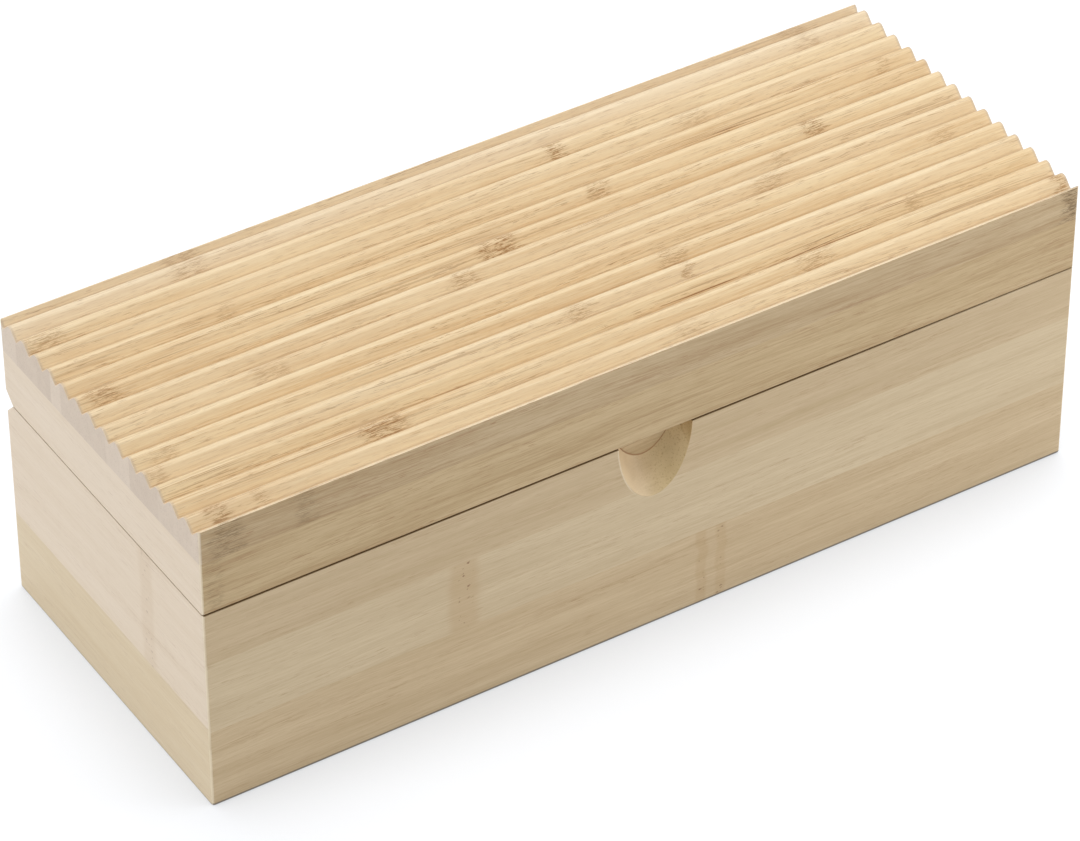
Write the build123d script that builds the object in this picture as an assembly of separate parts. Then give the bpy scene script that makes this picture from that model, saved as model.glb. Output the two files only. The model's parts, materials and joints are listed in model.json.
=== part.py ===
from build123d import *
import math
import os

# Long bamboo bread box with a hinged, ribbed lid.
# Millimetres. +X runs along the box, -Y is the front, +Z is up.
# The origin is the centre of the box's underside.

# ---- driving dimensions ----
length = 360.0
width = 139.0
height = 121.0
body_height = 85.1
seam_gap = 0.4

wall = 8.0
corner_radius = 1.2
foot_radius = 0.8
rear_top_radius = 0.3

front_joint_heights = [33.2, 63.0]
end_joint_heights = [34.9]

panel_thickness = 5.0
panel_recess = 4.0
groove_depth = 4.0
panel_edge_gap = 0.4

scoop_radius = 15.3
scoop_slope_deg = 57.8
scoop_axis_lift = 2.4
scoop_cutter_length = 122.4

locator_thickness = 4.5
locator_below_rim = 16.0
locator_above_rim = 8.0
locator_clearance = 0.6

board_thickness = 13.8
rail_thickness = wall - locator_clearance
rear_chamfer = 5.4

rib_strips = 15
rear_rib_fraction = 0.75
rib_pitch = width / (rib_strips - 1 + rear_rib_fraction)
rib_crest_radius = 2.2
rib_valley_radius = 0.6
rib_flank_deg = 45.0

hinge_centres = {"left": -120.0, "right": 120.0}
hinge_length = 25.0
hinge_offset = 0.9
knuckle_count = 5
knuckle_radius = 1.8
knuckle_gap = 0.2
knuckle_relief = 0.3
leaf_thickness = 1.0
leaf_start = 2.05
leaf_end = 6.4
pin_radius = 0.8
pin_running_clearance = 0.08
pin_head_radius = 1.3
pin_head_height = 0.4

screw_inset = 4.3
screw_spread = 7.5
screw_length = 5.2
screw_radius = 0.9
screw_head_radius = 1.7
screw_head_depth = 0.8
screw_sink = 0.05
screw_tip = 0.9
screw_point_radius = 0.15
recess_width = 0.45
recess_length = 2.0
recess_depth = 0.45

# ---- heights and depths worked out from them ----
front_y = -width / 2
rear_y = width / 2
lid_bottom = body_height + seam_gap
board_bottom = height - board_thickness
hinge_y = rear_y - rear_chamfer + hinge_offset
hinge_z = body_height + seam_gap / 2
leaf_face = (hinge_offset + seam_gap / 2) / math.sqrt(2)


def block(x_range, y_range, z_range):
    """A box given by its lowest and highest value along each axis."""
    size = [high - low for low, high in (x_range, y_range, z_range)]
    centre = [(high + low) / 2 for low, high in (x_range, y_range, z_range)]
    return Pos(*centre) * Box(*size)


def rounded_block(z_low, z_high):
    """A block of the box's full plan, with its four upright corners rounded."""
    solid = block((-length / 2, length / 2), (front_y, rear_y), (z_low, z_high))
    return fillet(solid.edges().filter_by(Axis.Z), corner_radius)


def side_regions(z_low, z_high):
    """Four prisms that meet at the mitre planes, one for each side of the box."""
    run = length / 2 - width / 2
    corners = {
        "front_left": (-length / 2, front_y),
        "front_right": (length / 2, front_y),
        "rear_left": (-length / 2, rear_y),
        "rear_right": (length / 2, rear_y),
    }
    middle_left = (-run, 0)
    middle_right = (run, 0)
    outlines = {
        "front": [corners["front_left"], corners["front_right"], middle_right, middle_left],
        "rear": [corners["rear_right"], corners["rear_left"], middle_left, middle_right],
        "left": [corners["rear_left"], corners["front_left"], middle_left],
        "right": [corners["front_right"], corners["rear_right"], middle_right],
    }
    regions = {}
    for side, points in outlines.items():
        face = make_face(Polyline(*points, close=True))
        regions[side] = Pos(0, 0, z_low) * extrude(face, z_high - z_low)
    return regions


def rear_chamfer_cutter(z_edge, direction):
    """Triangular prism that bevels the rear edge at height z_edge, downwards or upwards."""
    points = [
        (rear_y - rear_chamfer, z_edge),
        (rear_y + rear_chamfer, z_edge),
        (rear_y + rear_chamfer, z_edge + 2 * direction * rear_chamfer),
    ]
    face = make_face(Plane.YZ * Polyline(*points, close=True))
    return extrude(face, length / 2 + 1, both=True)


def scoop_cutter():
    """Slanted round cutter for the finger scoop in the middle of the front wall."""
    tilt = 90 - scoop_slope_deg
    place = Pos(0, front_y, body_height + scoop_axis_lift) * Rot(-tilt, 0, 0)
    return place * Cylinder(scoop_radius, scoop_cutter_length)


# ---- body ----
def body_shell():
    """The four walls as one ring, with the panel groove, rear bevel and finger scoop."""
    outer = rounded_block(0, body_height)
    outer = fillet(outer.faces().sort_by(Axis.Z)[0].edges(), foot_radius)
    inner_x = length / 2 - wall
    inner_y = width / 2 - wall
    inside = block((-inner_x, inner_x), (-inner_y, inner_y), (-1, body_height + 1))
    groove_x = inner_x + groove_depth
    groove_y = inner_y + groove_depth
    groove = block(
        (-groove_x, groove_x),
        (-groove_y, groove_y),
        (panel_recess, panel_recess + panel_thickness),
    )
    front_half = block((-length, length), (front_y - 1, 0), (0, body_height + 1))
    scoop = scoop_cutter() & front_half
    return outer - inside - groove - rear_chamfer_cutter(body_height, -1) - scoop


def body_wall_strips():
    """Each wall is a board glued up from strips that run along it."""
    shell = body_shell()
    strips = {}
    for side, region in side_regions(0, body_height).items():
        wall_board = shell & region
        joints = front_joint_heights if side in ("front", "rear") else end_joint_heights
        names = ["lower", "middle", "upper"] if len(joints) == 2 else ["lower", "upper"]
        levels = [0] + joints + [body_height]
        for name, low, high in zip(names, levels[:-1], levels[1:]):
            slab = block((-length, length), (-width, width), (low, high))
            strips[f"body_{side}_wall_{name}_strip"] = wall_board & slab
    return strips


def bottom_panel():
    """Bottom board, held in the groove that runs round the four walls."""
    half_x = length / 2 - wall + groove_depth - panel_edge_gap
    half_y = width / 2 - wall + groove_depth - panel_edge_gap
    return block(
        (-half_x, half_x),
        (-half_y, half_y),
        (panel_recess, panel_recess + panel_thickness),
    )


def locating_strips():
    """Strips glued inside the rim. They stand up into the lid and guide it shut."""
    outer_x = length / 2 - wall
    outer_y = width / 2 - wall
    inner_x = outer_x - locator_thickness
    inner_y = outer_y - locator_thickness
    levels = (body_height - locator_below_rim, body_height + locator_above_rim)
    return {
        "locating_strip_front": block((-outer_x, outer_x), (-outer_y, -inner_y), levels),
        "locating_strip_rear": block((-outer_x, outer_x), (inner_y, outer_y), levels),
        "locating_strip_left": block((-outer_x, -inner_x), (-inner_y, inner_y), levels),
        "locating_strip_right": block((inner_x, outer_x), (-inner_y, inner_y), levels),
    }


# ---- lid ----
def lid_rails():
    """Mitred frame of four rails under the ribbed board."""
    ring = rounded_block(lid_bottom, board_bottom)
    inner_x = length / 2 - rail_thickness
    inner_y = width / 2 - rail_thickness
    inside = block(
        (-inner_x, inner_x), (-inner_y, inner_y), (lid_bottom - 1, board_bottom + 1)
    )
    ring = ring - inside - rear_chamfer_cutter(lid_bottom, 1)
    regions = side_regions(lid_bottom, board_bottom)
    return {f"lid_{side}_rail": ring & region for side, region in regions.items()}


def rib_outline():
    """Section of the ribbed board across the ribs: round crests, straight flanks, narrow valleys.

    The front face cuts the first rib at its crest. Behind the last valley the board rises
    steeply to its full height at the rear face.
    """
    flank = math.radians(rib_flank_deg)
    crest_dy = rib_crest_radius * math.sin(flank)
    crest_z = height - rib_crest_radius * (1 - math.cos(flank))
    valley_dy = rib_valley_radius * math.sin(flank)
    flank_run = rib_pitch / 2 - crest_dy - valley_dy
    valley_side_z = crest_z - flank_run * math.tan(flank)
    valley_z = valley_side_z - rib_valley_radius * (1 - math.cos(flank))
    half_angle = flank / 2
    first_mid_y = rib_crest_radius * math.sin(half_angle)
    first_mid_z = height - rib_crest_radius * (1 - math.cos(half_angle))

    lines = [
        Line((front_y, board_bottom), (front_y, height)),
        ThreePointArc(
            (front_y, height), (front_y + first_mid_y, first_mid_z), (front_y + crest_dy, crest_z)
        ),
    ]
    for rib in range(rib_strips):
        crest_y = front_y + rib * rib_pitch
        valley_y = crest_y + rib_pitch / 2
        start = (valley_y - valley_dy, valley_side_z)
        end = (valley_y + valley_dy, valley_side_z)
        lines.append(Line((crest_y + crest_dy, crest_z), start))
        lines.append(ThreePointArc(start, (valley_y, valley_z), end))
        if rib < rib_strips - 1:
            next_y = crest_y + rib_pitch
            rise = (next_y - crest_dy, crest_z)
            lines.append(Line(end, rise))
            lines.append(ThreePointArc(rise, (next_y, height), (next_y + crest_dy, crest_z)))
    lines.append(Line(end, (rear_y, height)))
    lines.append(Line((rear_y, height), (rear_y, board_bottom)))
    lines.append(Line((rear_y, board_bottom), (front_y, board_bottom)))
    return Plane.YZ * make_face(lines)


def rib_board_strips():
    """The ribbed board, split into the strips it is glued from, one for each rib."""
    board = extrude(rib_outline(), length / 2, both=True)
    rear_edges = board.edges().filter_by(Axis.X).group_by(Axis.Y)[-1]
    board = fillet(rear_edges.sort_by(Axis.Z)[-1], rear_top_radius)
    board = board & rounded_block(board_bottom, height)
    joints = [front_y + (rib + 0.5) * rib_pitch for rib in range(rib_strips - 1)]
    levels = [front_y - 1] + joints + [rear_y + 1]
    strips = {}
    for index, (low, high) in enumerate(zip(levels[:-1], levels[1:])):
        slab = block((-length, length), (low, high), (board_bottom, height + 1))
        strips[f"lid_rib_strip_{index + 1:02d}"] = board & slab
    return strips


# ---- hinges ----
def on_body_bevel(solid):
    """Place a solid drawn on the hinge axis, +Y out along the bevel and +Z off it, on the body."""
    return Pos(0, hinge_y, hinge_z) * Rot(-45, 0, 0) * solid


def on_lid_bevel(solid):
    """The same on the lid, whose bevel is the body's mirrored about the seam."""
    return Pos(0, hinge_y, hinge_z) * mirror(Rot(-45, 0, 0) * solid, about=Plane.XY)


def knuckle_span(index):
    """Start and end along X of one knuckle, counted from the hinge's centre."""
    pitch = hinge_length / knuckle_count
    start = -hinge_length / 2 + index * pitch
    return start + knuckle_gap / 2, start + pitch - knuckle_gap / 2


def x_cylinder(radius, x_low, x_high):
    """A cylinder on the X axis from x_low to x_high."""
    return Pos((x_low + x_high) / 2, 0, 0) * Rot(0, 90, 0) * Cylinder(radius, x_high - x_low)


def screw_envelope():
    """A wood screw's solid without its recess, its axis down -Z from the leaf's face."""
    top = -leaf_face - screw_sink
    cone_low = top - screw_head_depth
    shank_low = top - screw_length + screw_tip
    head = Pos(0, 0, (top + cone_low) / 2) * Cone(screw_radius, screw_head_radius, screw_head_depth)
    shank = Pos(0, 0, (cone_low + shank_low) / 2) * Cylinder(screw_radius, cone_low - shank_low)
    tip = Pos(0, 0, shank_low - screw_tip / 2) * Cone(screw_point_radius, screw_radius, screw_tip)
    return head + shank + tip


def screw_holes():
    """Screw envelopes and the sunk space over their heads, in a leaf's own frame."""
    access = Pos(0, 0, -leaf_face / 2 - screw_sink / 2) * Cylinder(
        screw_head_radius, leaf_face + screw_sink
    )
    single = screw_envelope() + access
    return [Pos(x, screw_inset, 0) * single for x in (-screw_spread, screw_spread)]


def screws():
    """The two screws of one leaf, each with a cross recess, in the leaf's own frame."""
    recess_z = -leaf_face - screw_sink - recess_depth / 2
    recess = Pos(0, 0, recess_z) * (
        Box(recess_length, recess_width, recess_depth) + Box(recess_width, recess_length, recess_depth)
    )
    single = screw_envelope() - recess
    return [Pos(x, screw_inset, 0) * single for x in (-screw_spread, screw_spread)]


def leaf(knuckles, bore_radius):
    """One leaf with its rolled knuckles, in its own frame."""
    depth = (-leaf_face - leaf_thickness, -leaf_face)
    half = hinge_length / 2
    solid = block((-half, half), (leaf_start, leaf_end), depth)
    for index in knuckles:
        low, high = knuckle_span(index)
        solid = solid + block((low, high), (0, leaf_start), depth)
        solid = solid + x_cylinder(knuckle_radius, low, high)
    solid = solid - x_cylinder(bore_radius, -half - 1, half + 1)
    for hole in screw_holes():
        solid = solid - hole
    return solid


def leaf_pocket():
    """Space cut in the wood for a leaf, its screws and the hinge barrel, in the leaf's frame."""
    half = hinge_length / 2
    end_room = pin_head_height + knuckle_relief
    solid = block((-half, half), (0, leaf_end), (-leaf_face - leaf_thickness, 0))
    solid = solid + x_cylinder(knuckle_radius + knuckle_relief, -half - end_room, half + end_room)
    for hole in screw_holes():
        solid = solid + hole
    return solid


def hinge_pin():
    """Pin with a low head at each end, on the X axis."""
    half = hinge_length / 2
    solid = x_cylinder(pin_radius, -half, half)
    solid = solid + x_cylinder(pin_head_radius, -half - pin_head_height, -half)
    return solid + x_cylinder(pin_head_radius, half, half + pin_head_height)


def hinges():
    """Two small butt hinges, their leaves let into the bevels of the rear seam."""
    nodes = {}
    body_screws = []
    lid_screws = []
    for side, x in hinge_centres.items():
        place = Pos(x, 0, 0)
        body_leaf = leaf(range(0, knuckle_count, 2), pin_radius)
        lid_leaf = leaf(range(1, knuckle_count, 2), pin_radius + pin_running_clearance)
        nodes[f"hinge_{side}_body_leaf"] = place * on_body_bevel(body_leaf)
        nodes[f"hinge_{side}_lid_leaf"] = place * on_lid_bevel(lid_leaf)
        nodes[f"hinge_{side}_pin"] = place * Pos(0, hinge_y, hinge_z) * hinge_pin()
        body_screws += [place * on_body_bevel(screw) for screw in screws()]
        lid_screws += [place * on_lid_bevel(screw) for screw in screws()]
    nodes["hinge_screws_body"] = Compound(children=body_screws)
    nodes["hinge_screws_lid"] = Compound(children=lid_screws)
    return nodes


def cut_hinge_pockets(nodes):
    """Let both hinges into the rear wall's upper strip and the lid's rear rail."""
    for x in hinge_centres.values():
        place = Pos(x, 0, 0)
        nodes["body_rear_wall_upper_strip"] -= place * on_body_bevel(leaf_pocket())
        nodes["lid_rear_rail"] -= place * on_lid_bevel(leaf_pocket())


def build():
    nodes = {}
    nodes.update(body_wall_strips())
    nodes["body_bottom_panel"] = bottom_panel()
    nodes.update(locating_strips())
    nodes.update(lid_rails())
    nodes.update(rib_board_strips())
    cut_hinge_pockets(nodes)
    nodes.update(hinges())
    return nodes


os.makedirs("parts", exist_ok=True)
for name, solid in build().items():
    export_step(solid, f"parts/{name}.step")
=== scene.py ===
import json
import math

import bmesh
import bpy
from mathutils import Matrix, Vector

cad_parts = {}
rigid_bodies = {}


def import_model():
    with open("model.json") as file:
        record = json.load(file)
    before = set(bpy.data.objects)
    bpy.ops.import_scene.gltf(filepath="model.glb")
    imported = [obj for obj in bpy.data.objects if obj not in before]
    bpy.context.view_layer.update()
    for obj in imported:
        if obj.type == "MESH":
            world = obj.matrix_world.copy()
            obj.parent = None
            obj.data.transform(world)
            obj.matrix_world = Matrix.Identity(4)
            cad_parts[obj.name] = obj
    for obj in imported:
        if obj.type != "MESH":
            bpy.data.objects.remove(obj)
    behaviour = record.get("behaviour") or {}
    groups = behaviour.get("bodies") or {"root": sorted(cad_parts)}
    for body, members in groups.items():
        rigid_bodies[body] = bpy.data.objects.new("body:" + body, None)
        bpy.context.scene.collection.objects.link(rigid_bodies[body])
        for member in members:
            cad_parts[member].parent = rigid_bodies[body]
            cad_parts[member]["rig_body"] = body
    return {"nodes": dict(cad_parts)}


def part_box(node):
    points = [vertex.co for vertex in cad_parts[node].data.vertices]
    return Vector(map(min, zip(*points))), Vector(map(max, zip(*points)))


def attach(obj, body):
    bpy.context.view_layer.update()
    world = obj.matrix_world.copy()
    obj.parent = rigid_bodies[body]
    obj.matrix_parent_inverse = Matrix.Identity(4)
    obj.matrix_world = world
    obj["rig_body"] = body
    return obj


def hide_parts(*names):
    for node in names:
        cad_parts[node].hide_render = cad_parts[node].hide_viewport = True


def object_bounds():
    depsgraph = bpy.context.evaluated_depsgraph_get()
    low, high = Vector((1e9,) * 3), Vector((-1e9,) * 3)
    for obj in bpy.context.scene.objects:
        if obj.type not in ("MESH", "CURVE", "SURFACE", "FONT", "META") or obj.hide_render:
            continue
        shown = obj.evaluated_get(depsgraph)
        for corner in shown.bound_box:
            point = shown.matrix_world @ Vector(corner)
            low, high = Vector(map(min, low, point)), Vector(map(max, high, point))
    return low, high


# Looks of the long bamboo bread box with a hinged, ribbed lid.
# Metres, in the CAD model's frame: +X along the box, -Y the front, +Z up.

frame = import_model()
cad_low, cad_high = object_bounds()

MM = 0.001
box_length = cad_high.x - cad_low.x
front_y = cad_low.y
rear_y = cad_high.y
lid_top = cad_high.z
body_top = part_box("body_front_wall_upper_strip")[1].z
board_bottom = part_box("lid_rib_strip_01")[0].z
hinge_boxes = [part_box(f"hinge_{side}_body_leaf") for side in ("left", "right")]

# ---- camera ----
# Its place is counted in box lengths from the box's front left bottom corner.
camera_place = Vector((-1.7579, -3.3576, 3.4648))
camera_heading_deg = 32.345
camera_down_deg = 38.437
camera_roll_deg = -0.106
camera_lens_mm = 179.6
camera_sensor_mm = 36.0
camera_near = 0.1
camera_far = 50.0

# ---- soft lights: name, place and side in metres, power in watts, colour ----
soft_lights = [
    ("key_softbox", (0.35, 0.42, 1.9), 2.2, 36.5, (1.0, 0.985, 0.96)),
    ("left_softbox", (-1.6, 0.1, 0.5), 0.9, 5.8, (0.98, 0.985, 1.0)),
    ("right_softbox", (0.55, -0.50, 0.30), 0.3, 1.15, (1.0, 0.98, 0.95)),
]
sky_colour = (0.97, 0.985, 1.0, 1.0)
sky_strength = 0.36

# ---- floor: it glows a little, less beside the box and least where the box touches it, which paints its shadow ----
floor_radius = 7.0
floor_corners = 96
floor_colour = (0.385, 0.40, 0.43, 1.0)
floor_roughness = 0.9
floor_specular = 0.1
floor_glow_colour = (0.98, 0.99, 1.0, 1.0)
shade_reach = 38 * MM
# Share of open sky over which each effect fades, and its strength at both ends.
beside_shade = (0.35, 1.0, 0.555, 0.68)
contact_shade = (0.12, 0.42, 0.10, 1.0)

# ---- finish of the wooden edges, in millimetres ----
arris_width = 0.34
end_arris_width = 0.15
rim_arris_width = 0.45
rib_end_width = 0.25
widest_bevel = 0.45
bevel_segments = 3
sharp_edge_deg = 30.0
metal_bevel = 0.1
metal_bevel_segments = 2
corner_reach = 1.3

# ---- limits that tell the faces and edges of a CAD node apart ----
same_place = 0.01 * MM
rim_reach = 1 * MM
hinge_side_margin = 1 * MM
hinge_front_margin = 2 * MM
merge_distance = 0.002 * MM
flat_region_deg = 0.4
almost_zero = 0.01
almost_one = 0.99
mitre_slant = 0.5

# ---- finger scoop, in millimetres: a round cutter that leans back into the front wall ----
scoop_radius = 15.3
scoop_axis_z = body_top / MM + 2.4
scoop_lean_deg = 32.2
# The part of the front wall that holds it, and the slopes of its faces.
scoop_half_width = 17
scoop_depth = 9
scoop_height = 30
scoop_least_slope = 0.02
scoop_most_slope = 0.9
locator_front_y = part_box("locating_strip_front")[0].y / MM


def srgb(red, green, blue):
    """Linear colour of three 0-255 display values."""
    linear = []
    for value in (red, green, blue):
        share = value / 255
        linear.append(share / 12.92 if share < 0.04045 else ((share + 0.055) / 1.055) ** 2.4)
    return (*linear, 1.0)


# ---- tones, as display colours: each kind of wood has a light and a dark one ----
HONEY = (srgb(236, 214, 175), srgb(222, 191, 146))
WARM = (srgb(234, 211, 170), srgb(218, 185, 138))
BUTTER = (srgb(237, 216, 179), srgb(225, 197, 155))
LINEN = (srgb(238, 219, 187), srgb(226, 202, 167))
# Darker tone that rib 01 wears on its forward face: painted shade.
FRONT_SHADE = (srgb(198, 174, 136), srgb(173, 144, 102))
# OLIVE, SAND, OAT and CREAM on the front pieces are darker than the top's tones partly as painted
# shade.
OLIVE = (srgb(201, 176, 134), srgb(176, 147, 103))
SAND = (srgb(207, 184, 148), srgb(185, 160, 120))
OAT = (srgb(212, 189, 152), srgb(189, 163, 123))
CREAM = (srgb(215, 195, 160), srgb(195, 172, 135))
# Tone of the left end pieces: partly their own tone and partly a painted sheen.
PALE_SHEEN = (srgb(229, 212, 190), srgb(218, 198, 171))
STRAW = (srgb(223, 205, 173), srgb(209, 186, 148))
END = (srgb(221, 204, 184), srgb(199, 180, 160))
# Tints that the wood in the scoop is multiplied by, at its left and at its right: painted shade with
# some browner stain.
SCOOP_SHADE = ((1.0, 0.92, 0.82, 1.0), (0.88, 0.80, 0.60, 1.0))
MARK = srgb(158, 112, 58)
DARK_MARK = srgb(124, 98, 58)
TAN = srgb(186, 153, 108)
RED_BROWN = srgb(128, 84, 50)
BROWN = srgb(150, 104, 56)
# Pale colour of the arrises: partly wear, partly a painted highlight.
RUBBED_HIGHLIGHT = srgb(246, 231, 202)
# Painted shade in the seam between the lid and the body.
SEAM_SHADE_BROWN = srgb(116, 84, 36)
# Painted contact shadow along the foot of the walls.
FOOT_SHADOW_GREY = srgb(88, 84, 76)
HINGE_BRASS = srgb(222, 190, 120)
SCREW_BRASS = srgb(214, 178, 104)

# ---- noise patterns: stretch along and across the grain, detail and roughness ----
DRIFT = ((0.007, 0.02, 0.02), 1.0)
BANDS = ((0.008, 0.16, 0.16), 2.0)
FIBRES = ((0.022, 1.3, 1.3), 4.0, 0.65)
THREADS = ((0.10, 3.4, 3.4), 2.0)
DASHES = ((0.12, 2.6, 2.6), 2.0, 0.6)
LINES = ((0.016, 1.9, 1.9), 3.0, 0.6)
FIELD = ((0.011, 0.2, 0.2), 2.0)
HAIRS = ((0.15, 3.6, 3.6), 1.0)
SPECKLE = ((0.24, 2.8, 2.8), 3.0, 0.7)
RAGGED = ((0.05, 0.55, 0.55), 3.0, 0.7)
TAIL_LINES = ((0.03, 1.7, 1.7), 2.0)
WIDE_RAGGED = ((0.02, 0.12, 0.12), 3.0)
DOT_WARP = ((1.2, 1.6, 1.6), 2.0)
END_CLOUD = ((0.0, 0.25, 0.25), 2.0)
SCOOP_SPECKS = ((1.6, 1.6, 1.6), 3.0)
BRASS_LINES = ((0.15, 9.0, 9.0), 3.0)
BRASS_CLOUD = ((0.35, 0.35, 0.35), 3.0)
# This one is laid over metres instead of millimetres.
PATCHES = ((90.0, 90.0, 90.0), 2.0)
noise_middle = 0.5

# Values of a pattern between which a detail comes in.
dash_rise = (0.58, 0.72)
line_rise = (0.52, 0.62)
field_rise = (0.42, 0.70)
hair_rise = (0.65, 0.70)
speckle_rise = (0.48, 0.56)
tail_line_rise = (0.48, 0.62)
scoop_speck_rise = (0.56, 0.66)
patch_rise = (0.3, 0.6)
tarnish_rise = (0.40, 0.80)

# ---- grain ----
# Share of the dark tone in plain wood, and how much each pattern changes it.
plain_share = 0.42
fibre_swing = 2.1
band_swing = 1.9
thread_swing = 1.5
# Millimetres that the fibres wander sideways.
drift_reach = 2.0
# Strength of a detail: what the pattern behind it adds, and what it has everywhere.
dash_strength = (0.40, 0.28)
hair_strength = (0.55, 0.20)
stain_strength = (0.85, 0.10)
wood_roughness = (0.16, 0.42)
dark_dent = -0.8
# Half the length over which a streaky zone fades in, in millimetres.
zone_fade = 14.0

# ---- node marks: ragged edges in millimetres, and fades counted in half widths ----
ragged_reach = 6.5
mark_fade = (0.55, 1.35)
tail_fade = (0.8, 3.6)
tail_strength = 0.32
wide_ragged_reach = 2.5
wide_fade = (0.6, 1.3)
wide_strength = 0.42
dot_zone = (0.25, 0.8)
dot_cells = (0.55, 0.80, 0.80)
dot_warp_reach = 0.55
dot_sizes = (0.30, 1.0)
largest_dot = 0.42
dot_soft_edge = 0.12
dot_strength = 0.85

# ---- end grain ----
bundle_cells = (0.0, 1.15, 1.15)
bundle_randomness = 0.9
bundle_fade = (0.12, 0.42)
bundle_strength = 0.45
end_cloud_swing = 0.5
# How far in from the ends of the ribs the greyer wood fades, in millimetres.
cap_fade = (0.4, 1.3)
cap_strength = 0.55
# Where each glued block of the board starts, as a share of the depth from the rear, and its tone.
end_blocks = [
    (0.00, 0.30), (0.08, 0.62), (0.19, 0.72), (0.26, 0.25), (0.31, 0.60),
    (0.54, 0.42), (0.61, 0.30), (0.66, 0.72), (0.80, 0.55), (0.96, 0.45),
]

# ---- parts of a face's direction between which a coat of colour comes in ----
end_facing = (0.75, 0.9)
rounded_facing = (0.86, 0.97)
slanted_facing = (0.1, 0.3)
upward_facing = (0.3, 0.6)
downward_facing = (-0.5, -0.2)
forward_facing = (-0.9, -0.6)

# ---- wear with a painted highlight on the arrises, and painted shade in the valleys, seam and foot, in millimetres ----
rub_highlight_range = (0.45, 0.85)
rub_highlight_strength = 0.6
# Height of the valleys between the ribs, and how far the painted shade reaches up from there.
rib_depth = 3.55
valley_floor = lid_top / MM - rib_depth
valley_shade_depth = 0.55
valley_shade_strength = 0.30
# How far in from the outer faces the seam's painted shade line reaches, and its heights below the rim.
seam_line_depth = 0.5
seam_line_low = 0.36
seam_line_high = 0.16
# Along the box the line fades from the first strength to the second. At the ends it is weak.
seam_fade_span = (60.0, 175.0)
seam_strengths = (0.88, 0.35)
seam_end_strength = 0.15
# Heights between which the painted contact shadow at the foot fades out.
foot_fade = (0.75, 1.35)
foot_strength = 0.85
foot_end_strength = 0.30

# ---- colours round the scoop, with painted shade and a painted highlight on its left rim, in millimetres ----
scoop_surface_fade = (scoop_radius + 0.03, scoop_radius + 0.12)
scoop_highlight_fade = (scoop_radius + 0.3, scoop_radius + 0.6)
scoop_highlight_span = (-12.0, -7.0)
scoop_highlight_strength = 0.45
scoop_shade_span = (-9.0, 9.0)
scoop_speck_strength = 0.4
joint_line_width = 0.5
joint_line_strength = 0.75
joint_line_margin = 0.1

# ---- lacquer and brass ----
wood_bump = 0.35
wood_bump_height = 0.05 * MM
lacquer_specular = 0.4
lacquer_coat = 0.08
lacquer_coat_roughness = 0.35
hinge_roughness = 0.26
screw_roughness = 0.22
brass_line_roughness = 0.2
brass_bump = 0.25
brass_bump_height = 0.02 * MM
tarnish_strength = 0.40
tarnish_dark = 0.55


# ---- meshes ----
def on_mitre(face):
    """True for the slanted planes where two sides meet at a corner."""
    centre = face.calc_center_median()
    outward = Vector((math.copysign(1, centre.x), math.copysign(1, centre.y), 0)).normalized()
    slanted = min(abs(face.normal.x), abs(face.normal.y)) > mitre_slant
    return slanted and abs(face.normal.dot(outward)) < almost_zero


def on_glue_plane(face, name, low, high):
    """True for a face that is glued to the neighbouring strip, where no edge is eased."""
    centre = face.calc_center_median()
    upright = abs(face.normal.z) < almost_zero
    level = abs(face.normal.z) > almost_one
    if on_mitre(face):
        return True
    if level and name.startswith("body_"):
        at_lower_joint = abs(centre.z - low.z) < same_place and low.z > same_place
        at_upper_joint = abs(centre.z - high.z) < same_place and high.z < body_top - same_place
        return at_lower_joint or at_upper_joint
    if level and name.startswith("lid_"):
        return abs(centre.z - board_bottom) < same_place
    if upright and name.startswith("lid_rib_") and abs(face.normal.y) > almost_one:
        return abs(centre.y - front_y) > same_place and abs(centre.y - rear_y) > same_place
    return False


def in_scoop(face):
    """True for the round surface of the finger scoop."""
    centre = face.calc_center_median()
    slanted = scoop_least_slope < abs(face.normal.z) < scoop_most_slope
    near_middle = abs(centre.x) < scoop_half_width * MM
    near_front = centre.y < front_y + scoop_depth * MM
    return slanted and near_middle and near_front and centre.z > body_top - scoop_height * MM


def near_hinge(point):
    """True close to the pockets that the hinges are let into."""
    for low, high in hinge_boxes:
        beside = low.x - hinge_side_margin < point.x < high.x + hinge_side_margin
        if beside and point.y > low.y - hinge_front_margin:
            return True
    return False


def on_upright_corner(edge):
    """True for the short edges round the box's upright corners, which are already rounded."""
    return all(
        abs(vert.co.x) > cad_high.x - corner_reach * MM
        and abs(vert.co.y) > cad_high.y - corner_reach * MM
        for vert in edge.verts
    )


def on_scoop_outline(edge, name):
    """True where the finger scoop's round surface meets a flat face."""
    return "front_wall" in name and sum(in_scoop(face) for face in edge.link_faces) == 1


def edge_width(edge, name):
    """Width of the eased edge in millimetres, or 0 where it stays as it is."""
    middle = (edge.verts[0].co + edge.verts[1].co) / 2
    if near_hinge(middle) or on_scoop_outline(edge, name):
        return 0
    if name.startswith("lid_rib_"):
        return 0 if on_upright_corner(edge) else rib_end_width
    if runs_across(name):
        return end_arris_width
    if "_front_" in name and abs(middle.z - body_top) < rim_reach:
        return rim_arris_width
    return arris_width


def cleaned(mesh):
    """A bmesh of the CAD node with its split corners joined and flat regions merged."""
    shape = bmesh.new()
    shape.from_mesh(mesh)
    for layers in (shape.loops.layers.uv, shape.loops.layers.float_vector):
        for layer in list(layers.values()):
            layers.remove(layer)
    bmesh.ops.remove_doubles(shape, verts=shape.verts, dist=merge_distance)
    flat = math.radians(flat_region_deg)
    bmesh.ops.dissolve_limit(
        shape, angle_limit=flat, use_dissolve_boundaries=False, verts=shape.verts, edges=shape.edges
    )
    bmesh.ops.recalc_face_normals(shape, faces=shape.faces)
    return shape


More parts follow.
